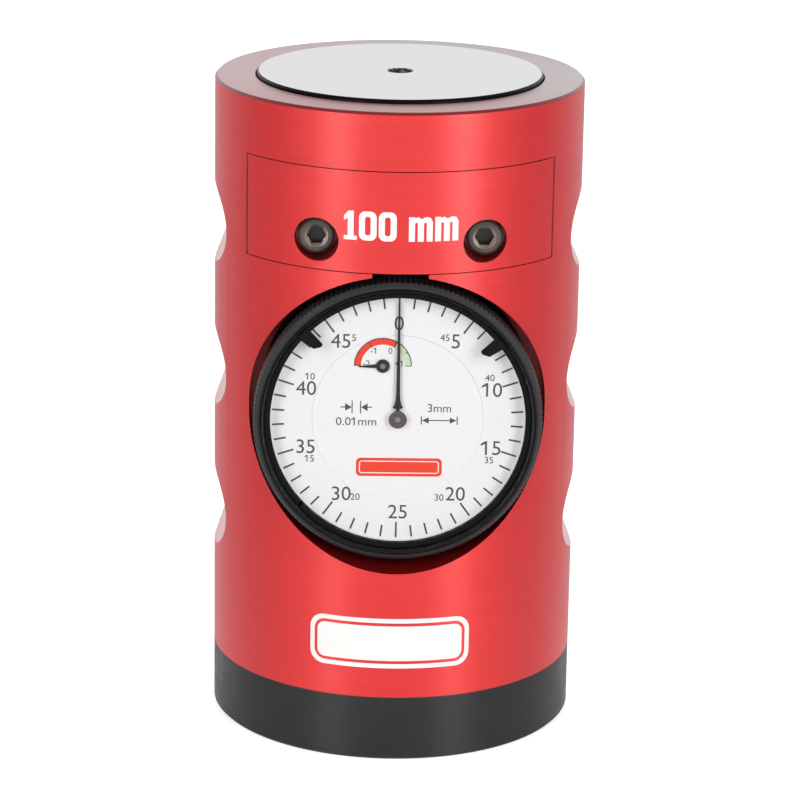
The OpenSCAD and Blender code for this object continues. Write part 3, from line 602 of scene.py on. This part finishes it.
def scale_print():
    """Ticks and numbers of the scale ring, which turn with the bezel."""
    ticks = bmesh.new()
    for i in range(DIVISIONS):
        tick_in = TICK_IN if i % 5 else LONG_TICK_IN
        bar(ticks, i * 360 / DIVISIONS, tick_in, TICK_OUT, TICK_W)
    piece("scale_ticks", ticks, on_dial, "print_black", "bezel_group")
    numbers, small = bmesh.new(), bmesh.new()
    for value in range(0, DIVISIONS, 5):
        u, v = turned(value * 360 / DIVISIONS, 0, NUMBER_R)
        right, up = NUDGE.get(value, (0, 0))
        lettering(numbers, str(value), NUMBER_H, (u + right, v + up))
        if value in REVERSE:
            reverse, right, up = REVERSE[value]
            lettering(small, str(reverse), SMALL_H, (u + right, v + up))
    piece("scale_numbers", numbers, on_dial, "print_grey", "bezel_group")
    piece("reverse_numbers", small, on_dial, "print_black", "bezel_group")


COUNTER_BANDS = (("counter_red", -90, 30, "print_red"), ("counter_green", 30, 90, "print_green"))
COUNTER_NUMBERS = (("-2", -2.45, 0.36), ("-1", -1.45, 2.35), ("0", 1.1, 2.35), ("+1", 2.35, 0.36))


def counter_print():
    """The millimetre counter: red before zero and green after it, with a mark every half millimetre."""
    inner, outer = 3.3, 4.25
    for name, start, end, slot in COUNTER_BANDS:
        band = bmesh.new()
        loop_band(band, arc(inner, start, end), arc(outer, start, end), closed=False)
        piece(name, band, on_counter, slot, "stand")
    marks = bmesh.new()
    loop_band(marks, arc(outer - 0.05, -90, 90), arc(outer + 0.1, -90, 90), OVER_INK, closed=False)
    for i, angle in enumerate(range(-90, 91, 30)):
        mark_in = outer - 0.4 if i % 2 else inner
        bar(marks, angle, mark_in, outer, 0.13, OVER_INK)
    for text, u, v in COUNTER_NUMBERS:
        lettering(marks, text, 0.95, (u, v))
    piece("counter_marks", marks, on_counter, "print_black", "stand")


def arrow(mesh, tip, base, half, v):
    """An arrowhead on a level line, half millimetres high above it and below it."""
    points = [(tip, v), (base, v + half), (base, v - half)]
    prism(mesh, points if base < tip else points[::-1])


def level(mesh, u0, u1, v, width):
    """A level line from u0 to u1."""
    low, high = v - width / 2, v + width / 2
    prism(mesh, [(u0, low), (u1, low), (u1, high), (u0, high)])


def upright(mesh, u, v0, v1, width):
    """An upright line from v0 to v1."""
    left, right = u - width / 2, u + width / 2
    prism(mesh, [(left, v0), (right, v0), (right, v1), (left, v1)])


def centre_print():
    """On the fixed middle of the dial: what one division is worth, and the travel."""
    marks = bmesh.new()
    line = 0.16
    worth_u, worth_v = -6.25, 1.68
    travel_u, travel_v = 6.28, -0.3
    for side in (-1, 1):
        # One division: two arrows that point at two lines from outside
        u = worth_u + side * 0.64
        upright(marks, u, 0.7, 2.7, line)
        arrow(marks, u + side * 0.06, u + side * 1.05, 0.6, worth_v)
        level(marks, *sorted((u + side * 1.0, u + side * 1.75)), worth_v, line)
        # The travel: a double arrow between two lines
        arrow(marks, travel_u + side * 2.6, travel_u + side * 1.6, 0.5, travel_v)
        upright(marks, travel_u + side * 2.7, -0.95, 0.35, line)
    level(marks, travel_u - 1.7, travel_u + 1.7, travel_v, line)
    lettering(marks, "0.01mm", 1.25, (worth_u - 0.01, -0.56), width=6.1)
    lettering(marks, "3mm", 1.3, (travel_u, 1.65), width=3.5)
    piece("centre_marks", marks, on_dial, "print_grey", "stand")


def inner_dial_edge():
    """The pale line where the fixed middle of the dial meets the scale ring."""
    edge = bmesh.new()
    loop_band(edge, ring(INNER_DIAL_R - 0.12), ring(INNER_DIAL_R + 0.14), (INK[0], 0.006))
    piece("dial_edge_line", edge, on_dial, "print_white", "stand")


def crystal_border():
    """A black ring under the crystal's edge: painted shade that makes the gap where its ring is split show
    dark.
    """
    border = bmesh.new()
    under = CRYSTAL_UNDER - DIAL_FACE
    # Painted shade for the gap in the crystal's split ring; the ring itself hides the rest.
    loop_band(border, ring(WINDOW_R + 0.02), ring(WINDOW_R + 0.68), (under - 0.015, under + 0.015))
    piece("crystal_border", border, on_dial, "bezel_black", "bezel_group")


def dial_badge():
    """A plain red badge with a white line inside its edge."""
    centre = (0.3, -7.75)
    badge = bmesh.new()
    prism(badge, rounded(13.0, 2.9, 0.7, centre))
    piece("dial_badge", badge, on_dial, "print_red", "stand")
    line = bmesh.new()
    loop_band(line, rounded(11.8, 1.7, 0.3, centre), rounded(12.1, 2.0, 0.45, centre), OVER_INK)
    piece("dial_badge_line", line, on_dial, "print_white", "stand")


# ---------------------------------------------------------------- the housing's prints


def height_mark():
    """100 mm in stout narrow figures, put together from their outlines."""
    words = bmesh.new()
    foot, high, low_case = 82.1, 4.4, 3.7

    # The 1, with a foot and a flag
    foot_h, stem_left, stem_right, wide = 0.62, 0.6, 1.5, 2
    one = ((0, 0), (wide, 0), (wide, foot_h), (stem_right, foot_h), (stem_right, high), (0.72, high),
           (0, high - 0.8), (0, high - 1.5), (stem_left, high - 1.15), (stem_left, foot_h), (0, foot_h))
    prism(words, [(u - 8.6, v + foot) for u, v in one])

    # The two noughts
    for middle in (-4.98, -2.02):
        at = (middle, foot + high / 2)
        loop_band(words, rounded(0.85, high - 1.56, 0.38, at), rounded(2.65, high, 0.95, at))

    # The two letters: three stems, two arched slots between them, and a dip in the top
    stroke, slot = 0.9, 0.42
    wide = 3 * stroke + 2 * slot
    middle = wide / 2
    arch = ((0, 0), (0, low_case - 0.95), (slot / 2, low_case - 0.78), (slot, low_case - 0.95), (slot, 0))
    letter = [(0, 0)]
    for left in (stroke, 2 * stroke + slot):
        letter += [(left + u, v) for u, v in arch]
    letter += [(wide, 0), (wide, low_case - 0.75), (wide - 0.3, low_case - 0.15), (wide - 0.75, low_case),
               (middle + 0.6, low_case - 0.05), (middle + 0.1, low_case - 0.3), (middle - 0.4, low_case),
               (stroke + 0.45, low_case), (stroke, low_case - 0.2), (stroke, low_case), (0, low_case)]
    for left in (1.1, 5.0):
        prism(words, [(u + left, v + foot) for u, v in letter])
    piece("height_mark", sliced(words), on_body, "print_white", "stand")


def body_badge():
    """A plain white badge below the dial, inside a white frame."""
    centre = (-0.8, 19.0)
    badge = bmesh.new()
    prism(badge, rounded(22.6, 5.6, 1.2, centre))
    loop_band(badge, rounded(23.6, 6.6, 1.7, centre), rounded(25.0, 8.0, 2.2, centre))
    piece("body_badge", sliced(badge), on_body, "print_white", "stand")


scale_print()
counter_print()
centre_print()
inner_dial_edge()
crystal_border()
dial_badge()
height_mark()
body_badge()

# ---------------------------------------------------------------- springs


def coil_rise(turn, turns, dead, live):
    """How high a coil's wire is after a number of turns: its first and last turns are closed."""
    if turn < 1:
        return dead * turn
    if turn > turns - 1:
        return dead + live + dead * (turn - turns + 1)
    return dead + live * (turn - 1) / (turns - 2)


def coil(name, node, mean_r, wire_r, turns):
    """A compression spring with closed ends, in place of the CAD's one, which shortens with the disc."""
    node_low, node_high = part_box(node)
    x, y = (node_low.x + node_high.x) / 2 / MM, (node_low.y + node_high.y) / 2 / MM
    low, high = node_low.z / MM, node_high.z / MM
    steps, sides = 28, 10
    dead = 2.05 * wire_r
    live = high - low - 2 * wire_r - 2 * dead

    mesh = bmesh.new()
    rings = []
    for i in range(turns * steps + 1):
        a = math.tau * i / steps
        z = low + wire_r + coil_rise(i / steps, turns, dead, live)
        round_wire = []
        for j in range(sides):
            b = math.tau * j / sides
            r = mean_r + wire_r * math.cos(b)
            round_wire.append(mesh.verts.new((r * math.cos(a), r * math.sin(a), z + wire_r * math.sin(b))))
        rings.append(round_wire)
    for first, second in zip(rings, rings[1:]):
        for j in range(sides):
            k = (j + 1) % sides
            mesh.faces.new((first[j], first[k], second[k], second[j]))
    mesh.faces.new(rings[0][::-1])
    mesh.faces.new(rings[-1])
    for face in mesh.faces:
        face.smooth = True

    made = piece(name, mesh, lambda u, v, w: Vector((x + u, y + v, w)) * MM, "spring_steel", "stand")
    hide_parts(node)
    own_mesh(made)


coil("return_coil", "return_spring", mean_r=5.5, wire_r=0.7, turns=8)
coil("spindle_coil", "spindle_spring", mean_r=2.55, wire_r=0.2, turns=9)

# ---------------------------------------------------------------- floor, light and camera


def plain_floor():
    """A white floor. It glows where it is seen, and close to the object it gives a little light."""
    half = 6.0
    corners = [(-half, -half, 0), (half, -half, 0), (half, half, 0), (-half, half, 0)]
    data = bpy.data.meshes.new("floor")
    data.from_pydata(corners, [], [(0, 1, 2, 3)])
    floor = bpy.data.objects.new("floor", data)
    scene.collection.objects.link(floor)
    seen_white, lit_white = (0.85, 0.85, 0.85), (0.63, 0.63, 0.63)
    paint = Paint("floor_white", seen_white, roughness=0.2)
    paint.set("Emission Color", (1, 1, 1, 1))
    seen = paint.node("ShaderNodeLightPath").outputs["Is Camera Ray"]
    aside = paint.math("ABSOLUTE", paint.parts()["X"])
    glow = paint.span(aside, 40, 160, 0.2, 0.0)
    paint.drive("Emission Strength", paint.math("MAXIMUM", glow, paint.product(seen, 0.6)))
    paint.drive("Base Color", paint.mix(seen, lit_white, seen_white))
    paint.bump(paint.noise(4.0), 0.02, depth=0.02)
    data.materials.append(paint.mat)


def studio():
    """A room that is bright in front and behind, dim at its sides, and a little dimmer overhead."""
    world = bpy.data.worlds.new("studio")
    world.use_nodes = True
    nodes, links = world.node_tree.nodes, world.node_tree.links
    way = nodes.new("ShaderNodeSeparateXYZ")
    links.new(nodes.new("ShaderNodeTexCoord").outputs["Generated"], way.inputs[0])

    depth = nodes.new("ShaderNodeMapRange")      # 0 straight in front of the dial, 1 behind the object
    depth.inputs["From Min"].default_value = -1
    links.new(way.outputs["Y"], depth.inputs["Value"])
    walls = nodes.new("ShaderNodeValToRGB")
    stops = walls.color_ramp.elements
    stops[0].color = (0.76, 0.74, 0.69, 1)
    stops[1].color = (0.98, 0.98, 1, 1)
    stops.new(0.25).color = (0.73, 0.71, 0.67, 1)
    stops.new(0.45).color = (0.267, 0.278, 0.363, 1)
    stops.new(0.55).color = (0.23, 0.24, 0.313, 1)
    stops.new(0.85).color = (0.98, 0.98, 1, 1)
    links.new(depth.outputs[0], walls.inputs[0])
    links.new(walls.outputs[0], nodes["Background"].inputs["Color"])

    upward = nodes.new("ShaderNodeMapRange")
    for socket, value in (("From Min", 0.1), ("From Max", 0.9), ("To Min", 1.16), ("To Max", 0.85)):
        upward.inputs[socket].default_value = value
    links.new(way.outputs["Z"], upward.inputs["Value"])
    links.new(upward.outputs[0], nodes["Background"].inputs["Strength"])
    scene.world = world


def soft_box(name, azimuth, radiance):
    """A tall lamp that faces the object from one side. Azimuth 0 is straight in front of the dial."""
    elevation, distance, width, height = 19, 0.9, 0.25, 0.7
    target = Vector((0, 0, 0.05))
    a, e = math.radians(azimuth), math.radians(elevation)
    way = Vector((math.sin(a) * math.cos(e), -math.cos(a) * math.cos(e), math.sin(e)))
    data = bpy.data.lights.new(name, "AREA")
    data.shape = "RECTANGLE"
    data.size, data.size_y = width, height
    data.energy = radiance * math.pi * width * height
    lamp = bpy.data.objects.new(name, data)
    lamp.location = target + way * distance
    lamp.rotation_euler = (-way).to_track_quat("-Z", "Y").to_euler()
    scene.collection.objects.link(lamp)


def camera():
    """A long lens a little above the object, turned and rolled by about a degree."""
    distance, elevation, azimuth, roll = 0.5559, 16.68, -1.13, 0.966      # metres, then degrees
    aim_right, aim_up = 0.81 * MM, 49.29 * MM
    focal_length, sensor_width = 158.8, 36
    e, a, r = (math.radians(x) for x in (elevation, azimuth, roll))
    aim = Vector((aim_right * math.cos(a), aim_right * math.sin(a), aim_up))
    place = Vector((math.cos(e) * math.sin(a), -math.cos(e) * math.cos(a), math.sin(e))) * distance
    place.z += aim_up
    forward = (aim - place).normalized()
    right = forward.cross(Vector((0, 0, 1))).normalized()
    up = right.cross(forward)
    right, up = right * math.cos(r) + up * math.sin(r), up * math.cos(r) - right * math.sin(r)
    data = bpy.data.cameras.new("camera")
    data.lens = focal_length
    data.sensor_width = sensor_width
    data.clip_start, data.clip_end = 0.01, 50
    lens = bpy.data.objects.new("camera", data)
    lens.matrix_world = Matrix.Translation(place) @ Matrix((right, up, -forward)).transposed().to_4x4()
    scene.collection.objects.link(lens)
    scene.camera = lens


plain_floor()
studio()
soft_box("left_box", -38, 5.6)
soft_box("right_box", 38.5, 6.8)
camera()
scene.view_settings.view_transform = "Standard"
